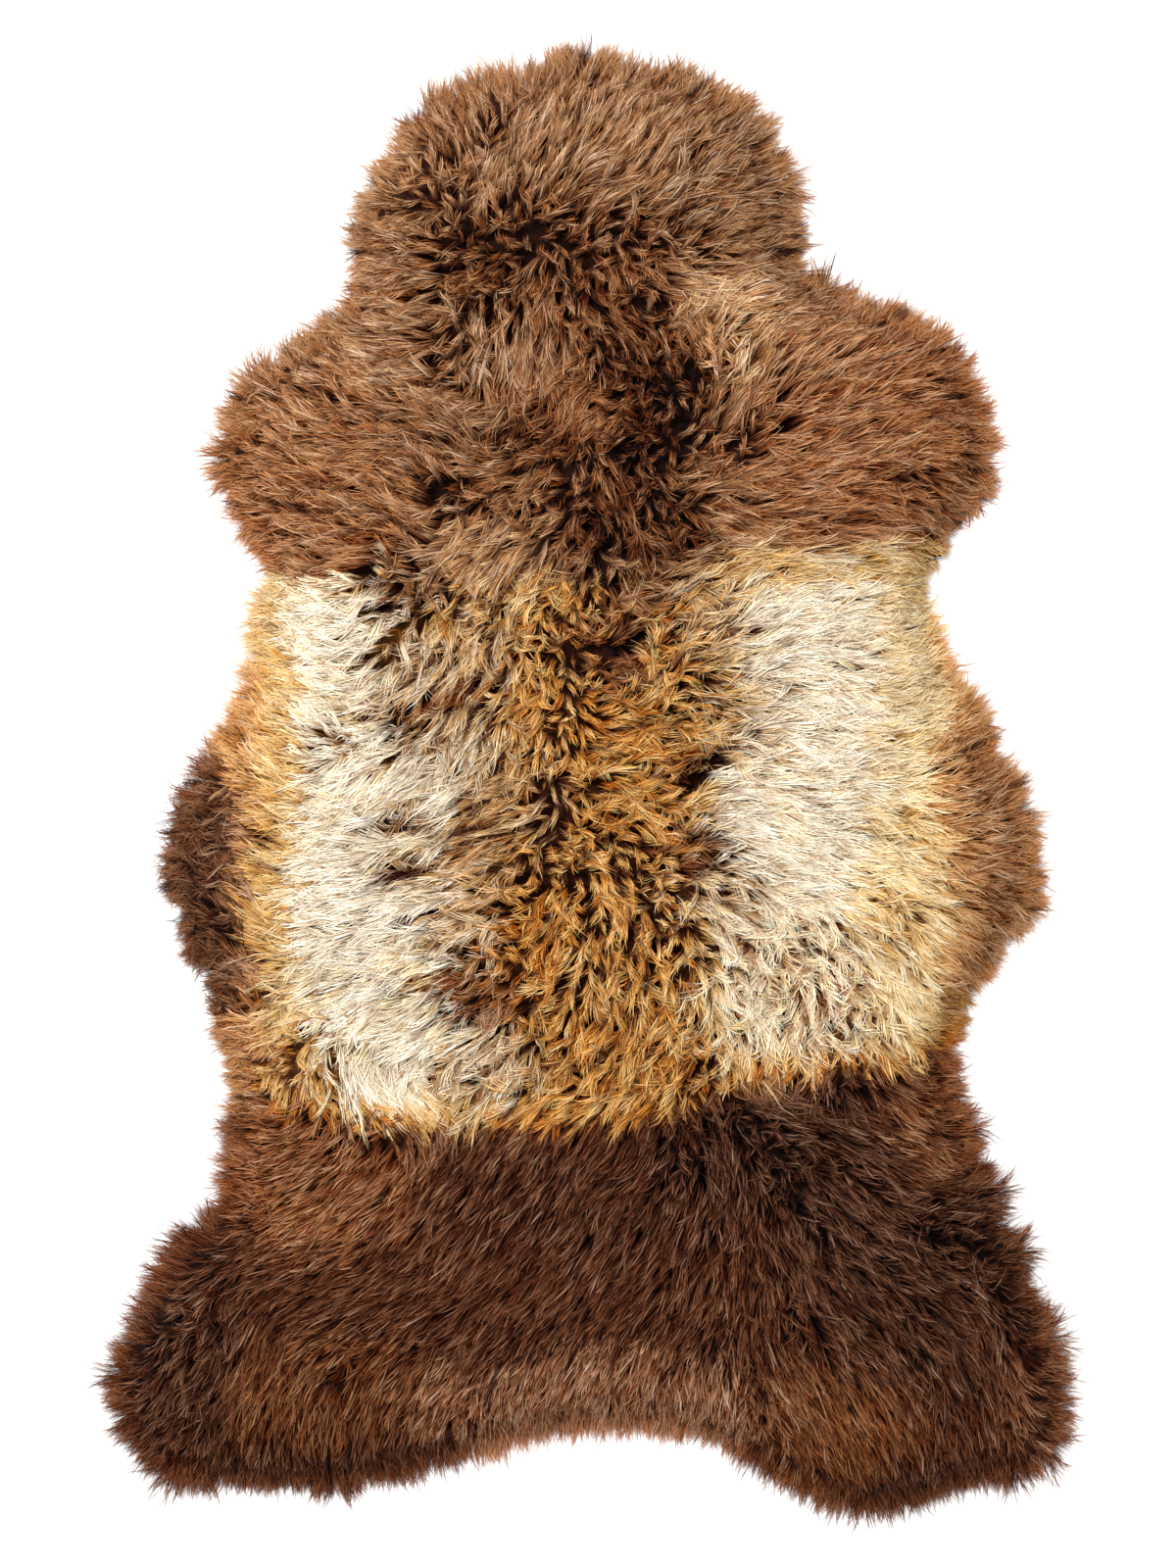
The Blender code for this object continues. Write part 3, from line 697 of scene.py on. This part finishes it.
def wool_mesh(name, corners, colours):
    """One mesh of many strands, each pointed at both ends, with a small cell of the map for each."""
    count = len(corners)
    loops = np.array([0, 2, 1, 1, 2, 4, 3, 3, 4, 5])
    starts, sizes = np.array([0, 3, 7]), np.array([3, 4, 3])
    mesh = bpy.data.meshes.new(name)
    mesh.vertices.add(count * 6)
    mesh.vertices.foreach_set("co", corners.astype(np.float32).ravel())
    mesh.loops.add(count * len(loops))
    mesh.loops.foreach_set("vertex_index", (np.arange(count)[:, None] * 6 + loops).astype(np.int32).ravel())
    mesh.polygons.add(count * 3)
    first = np.arange(count)[:, None] * len(loops) + starts
    mesh.polygons.foreach_set("loop_start", first.astype(np.int32).ravel())
    mesh.polygons.foreach_set("loop_total", np.tile(sizes, count).astype(np.int32))
    along = np.repeat(STATIONS, (1, 2, 2, 1))
    shares = mesh.attributes.new("along", "FLOAT", "POINT").data
    shares.foreach_set("value", np.tile(along, count).astype(np.float32))
    for place, layer in enumerate(COLOUR_LAYERS):
        shown = np.ones((count, 6, 4), np.float32)
        shown[..., :3] = colours[:, place, None, :]
        mesh.attributes.new(layer, "FLOAT_COLOR", "POINT").data.foreach_set("color", shown.ravel())
    columns = 256
    rows = math.ceil(count / columns)
    cell = np.stack([np.arange(count) % columns, np.arange(count) // columns], 1)
    across = np.array([0.5, 0.1, 0.9, 0.1, 0.9, 0.5])
    in_cell = np.stack([across, 0.08 + 0.84 * along], 1)[loops]
    places = (cell[:, None, :] + in_cell[None]) / (columns, rows)
    mesh.uv_layers.new(name="OFBake").uv.foreach_set("vector", places.astype(np.float32).ravel())
    mesh.update(calc_edges=True)
    mesh.validate()
    mesh.shade_smooth()
    return mesh


def add_object(name, data):
    item = bpy.data.objects.new(name, data)
    bpy.context.scene.collection.objects.link(item)
    return item


class Wire:
    """An output of a material's node. Python's operators join it to numbers and other wires."""

    def __init__(self, tree, socket):
        self.tree, self.socket = tree, socket

    def math(self, operation, *values):
        return add_node(self.tree, "Math", [("operation", operation)], numbered=enumerate(values))

    def __add__(self, other):
        return self.math("ADD", self, other)

    def __radd__(self, other):
        return self.math("ADD", other, self)

    def __sub__(self, other):
        return self.math("SUBTRACT", self, other)

    def __rsub__(self, other):
        return self.math("SUBTRACT", other, self)

    def __mul__(self, other):
        return self.math("MULTIPLY", self, other)

    def __rmul__(self, other):
        return self.math("MULTIPLY", other, self)

    def __truediv__(self, other):
        return self.math("DIVIDE", self, other)

    def clamped(self):
        return self.math("MINIMUM", self.math("MAXIMUM", self, 0.0), 1.0)


def connect(tree, slot, value):
    if isinstance(value, Wire):
        tree.links.new(value.socket, slot)
    else:
        slot.default_value = value


def add_node(tree, kind, settings=(), output=0, numbered=(), **named):
    """A node of any type: its settings first, then its inputs by number, or by name with _ for spaces."""
    node = tree.nodes.new("ShaderNode" + kind)
    for setting, value in settings:
        setattr(node, setting, value)
    for number, value in numbered:
        connect(tree, node.inputs[number], value)
    for name, value in named.items():
        connect(tree, node.inputs[name.replace("_", " ")], value)
    return Wire(tree, node.outputs[output])


def mixed(tree, share, first, second, blend="MIX"):
    """Two colours mixed by a share. The colour sockets of a Mix node are numbered, not named."""
    settings = [("data_type", "RGBA"), ("blend_type", blend)]
    return add_node(tree, "Mix", settings, output=2, numbered=[(0, share), (6, first), (7, second)])


def new_material(name, roughness, specular):
    material = bpy.data.materials.new(name)
    material.use_nodes = True
    shader = material.node_tree.nodes["Principled BSDF"]
    shader.inputs["Roughness"].default_value = roughness
    shader.inputs["Specular IOR Level"].default_value = specular
    return material, material.node_tree, shader


def attribute(tree, layer, output="Color"):
    """What a mesh carries at each point: a colour, or a plain value from the output Fac."""
    return add_node(tree, "Attribute", [("attribute_name", layer)], output)


def object_noise(tree, scale, detail=2.0, roughness=0.5):
    place = add_node(tree, "TexCoord", output="Object")
    return add_node(tree, "TexNoise", Vector=place, Scale=scale, Detail=detail, Roughness=roughness)


def shaded(tree, colour, noise_value, low, high):
    """A colour made darker and lighter by noise, from low to high times itself."""
    factor = low + (high - low) * ((noise_value - 0.3) / 0.4).clamped()
    grey = add_node(tree, "CombineColor", Red=factor, Green=factor, Blue=factor)
    return mixed(tree, 1.0, colour, grey, "MULTIPLY")


def wool_material():
    """Wool, dark at the root and light at the tip, with each strand's own three colours.

    The dark towards the root is partly the wool's own colour and partly painted shade deeper in the pile.
    """
    material, tree, shader = new_material("combed wool", roughness=0.7, specular=0.05)
    tip, middle, root = (attribute(tree, layer) for layer in COLOUR_LAYERS)
    along = attribute(tree, "along", output="Fac")
    uneven = along + 0.18 * (object_noise(tree, scale=260.0) - 0.5)
    lower = mixed(tree, ((uneven - 0.28) / 0.40).clamped(), root, middle)
    colour = mixed(tree, ((uneven - 0.62) / 0.36).clamped(), lower, tip)
    colour = shaded(tree, colour, object_noise(tree, scale=34.0, detail=3.0), low=0.90, high=1.10)
    colour = shaded(tree, colour, object_noise(tree, scale=900.0), low=0.84, high=1.14)
    connect(tree, shader.inputs["Base Color"], colour)
    connect(tree, shader.inputs["Roughness"], 0.6 + 0.22 * object_noise(tree, scale=420.0))
    bump = add_node(tree, "Bump", Strength=0.35, Distance=0.0004, Height=object_noise(tree, scale=1500.0))
    connect(tree, shader.inputs["Normal"], bump)
    return material


def undercoat_material():
    """The short dense wool below the locks, matted, and dark with the root colour: partly its own, partly
    painted shade.
    """
    material, tree, shader = new_material("matted underwool", roughness=0.9, specular=0.12)
    mats = object_noise(tree, scale=220.0, detail=4.0, roughness=0.65)
    colour = shaded(tree, attribute(tree, "root"), mats, low=0.45, high=1.25)
    connect(tree, shader.inputs["Base Color"], colour)
    connect(tree, shader.inputs["Roughness"], 0.80 + 0.18 * object_noise(tree, scale=300.0))
    tufts = object_noise(tree, scale=420.0, detail=5.0, roughness=0.7)
    bump = add_node(tree, "Bump", Strength=0.8, Distance=0.0015, Height=tufts)
    connect(tree, shader.inputs["Normal"], bump)
    return material


def skin_material():
    """The flesh side of a tanned skin: pale suede with soft blotches, veins and pores."""
    material, tree, shader = new_material("suede side of the skin", roughness=0.85, specular=0.2)
    pale, deep = ((*linear_colour(code), 1.0) for code in ("D9C2A0", "B4936A"))
    blotch = ((object_noise(tree, scale=9.0, detail=5.0, roughness=0.6) - 0.36) / 0.3).clamped()
    colour = mixed(tree, blotch, pale, deep)
    veins = object_noise(tree, scale=70.0, detail=4.0, roughness=0.6)
    colour = shaded(tree, colour, veins, low=0.90, high=1.08)
    colour = shaded(tree, colour, object_noise(tree, scale=1100.0), low=0.90, high=1.06)
    connect(tree, shader.inputs["Base Color"], colour)
    connect(tree, shader.inputs["Roughness"], 0.74 + 0.2 * object_noise(tree, scale=160.0))
    nap = object_noise(tree, scale=900.0, detail=4.0, roughness=0.7)
    nap = nap + 0.8 * object_noise(tree, scale=60.0, detail=3.0)
    bump = add_node(tree, "Bump", Strength=0.5, Distance=0.0006, Height=nap)
    connect(tree, shader.inputs["Normal"], bump)
    return material


def floor_material():
    material, tree, shader = new_material("white studio floor", roughness=0.8, specular=0.1)
    colour = shaded(tree, FLOOR_WHITE, object_noise(tree, scale=3.0), low=0.995, high=1.0)
    connect(tree, shader.inputs["Base Color"], colour)
    return material


def make_undercoat(node, depth, outward, random):
    """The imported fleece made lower, its rim locks drawn in and its top roughened like matted wool."""
    mesh = bmesh.new()
    mesh.from_mesh(node.data)
    bmesh.ops.remove_doubles(mesh, verts=mesh.verts, dist=SAME_POINT)
    upper = [
        edge for edge in mesh.edges if min(corner.co.z for corner in edge.verts) > UNDERCOAT_FINE_ABOVE
    ]
    bmesh.ops.subdivide_edges(mesh, edges=upper, cuts=2, use_grid_fill=True)
    bmesh.ops.triangulate(mesh, faces=[face for face in mesh.faces if len(face.verts) > 4])
    places = np.array([corner.co for corner in mesh.verts])
    flat = places[:, :2]
    beyond = (-depth.at(flat)).clip(0, None)
    flat = flat - outward.at(flat) * (0.75 * beyond)[:, None]
    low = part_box(node.name)[0][2]
    base = UNDERCOAT_BASE
    rough = 1.6 * MM * waves(flat, 7 * MM, seed=21.0) + 1.2 * MM * waves(flat, 16 * MM, seed=22.0)
    before = places[:, 2]
    raised = smooth_step((before - UNDERCOAT_ROUGH_ABOVE) / (6 * MM))
    level = np.where(before > base, base + (before - base) * UNDERCOAT_SHARE + raised * rough, before)
    level = np.where(raised > 0, np.maximum(level, base + 1 * MM), np.maximum(level, low))
    level -= raised * 0.10 * (before - UNDERCOAT_ROUGH_ABOVE)
    for corner, (x, y), z in zip(mesh.verts, flat, level):
        corner.co = (x, y, z)
    bmesh.ops.recalc_face_normals(mesh, faces=mesh.faces)
    data = bpy.data.meshes.new("undercoat")
    mesh.to_mesh(data)
    mesh.free()
    data.shade_smooth()
    shown = np.ones((len(flat), 4), np.float32)
    shown[:, :3] = coats_at(flat, random).colours[:, 2]
    data.attributes.new("root", "FLOAT_COLOR", "POINT").data.foreach_set("color", shown.ravel())
    return add_object("undercoat", data)


def make_skin(node):
    """The hide with its cut rim softened."""
    mesh = bmesh.new()
    mesh.from_mesh(node.data)
    bmesh.ops.remove_doubles(mesh, verts=mesh.verts, dist=SAME_POINT)
    bmesh.ops.dissolve_limit(mesh, angle_limit=math.radians(0.5), verts=mesh.verts, edges=mesh.edges)
    rim = [edge for edge in mesh.edges if abs(edge.verts[0].co.z - edge.verts[1].co.z) < 0.1 * MM]
    bmesh.ops.bevel(
        mesh, geom=rim, affect="EDGES", offset=SKIN_RIM, offset_type="OFFSET", segments=3, profile=0.5,
        material=-1,
    )
    bmesh.ops.triangulate(mesh, faces=mesh.faces)
    bmesh.ops.recalc_face_normals(mesh, faces=mesh.faces)
    data = bpy.data.meshes.new("skin")
    mesh.to_mesh(data)
    mesh.free()
    data.shade_smooth()
    data.set_sharp_from_angle(angle=math.radians(50))
    return add_object("skin", data)


def make_wool(height, depth, outward, overhang, random):
    """The pile as a few large meshes, from the rump to the neck."""
    comb = Comb(depth.low, depth.low + np.array(depth.values.shape) * GRID_PITCH)
    locks = plan_locks(comb, depth, outward, overhang, random)
    corners, colours = grow_strands(locks, height, comb.partings, random)
    order = np.argsort(-corners[:, 0, 1], kind="stable")
    material = wool_material()
    pieces = []
    for name, chosen in zip(WOOL_PIECES, np.array_split(order, len(WOOL_PIECES))):
        piece = add_object(name, wool_mesh(name, corners[chosen], colours[chosen]))
        piece.data.materials.append(material)
        pieces.append(piece)
    return pieces


def make_floor():
    mesh = bmesh.new()
    bmesh.ops.create_grid(mesh, x_segments=1, y_segments=1, size=FLOOR_HALF_SIZE)
    data = bpy.data.meshes.new("floor")
    mesh.to_mesh(data)
    mesh.free()
    floor = add_object("floor", data)
    floor.location.z = -FLOOR_GAP
    data.materials.append(floor_material())
    return floor


def area_light(name, place, size, power):
    """A square lamp that looks at the middle of the rug."""
    light = bpy.data.lights.new(name, "AREA")
    light.shape, light.size, light.energy = "SQUARE", size, power
    item = add_object(name, light)
    item.location = place
    item.rotation_euler = (-Vector(place)).to_track_quat("-Z", "Y").to_euler()
    item.visible_camera = False
    return item


def set_studio():
    """White room light with one large lamp high on the upper left, and the camera straight above."""
    scene = bpy.context.scene
    scene.view_settings.view_transform = "Standard"
    world = bpy.data.worlds.new("white room")
    world.use_nodes = True
    background = world.node_tree.nodes["Background"].inputs
    background["Color"].default_value = WHITE
    background["Strength"].default_value = ROOM_LIGHT
    scene.world = world
    area_light("key lamp", LAMP_PLACE, LAMP_SIZE, LAMP_POWER)
    lens = bpy.data.cameras.new("camera")
    lens.sensor_fit, lens.sensor_height, lens.sensor_width = "VERTICAL", SENSOR, SENSOR
    lens.lens = SENSOR * (CAMERA_HEIGHT - MEAN_WOOL_HEIGHT) / FRAME_HEIGHT
    lens.clip_end = 50.0
    camera = add_object("camera", lens)
    camera.location = (*FRAME_CENTRE, CAMERA_HEIGHT)
    scene.camera = camera


def main():
    random = np.random.default_rng(2024)
    fleece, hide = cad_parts["fleece"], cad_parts["hide"]
    height, depth, outward, overhang = read_slab(fleece)
    undercoat = make_undercoat(fleece, depth, outward, random)
    undercoat.data.materials.append(undercoat_material())
    skin = make_skin(hide)
    skin.data.materials.append(skin_material())
    wool = make_wool(height, depth, outward, overhang, random)
    for piece in (undercoat, *wool):
        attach(piece, "root")
        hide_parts("fleece")
    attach(skin, "root")
    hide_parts("hide")
    floor = make_floor()
    set_studio()


main()
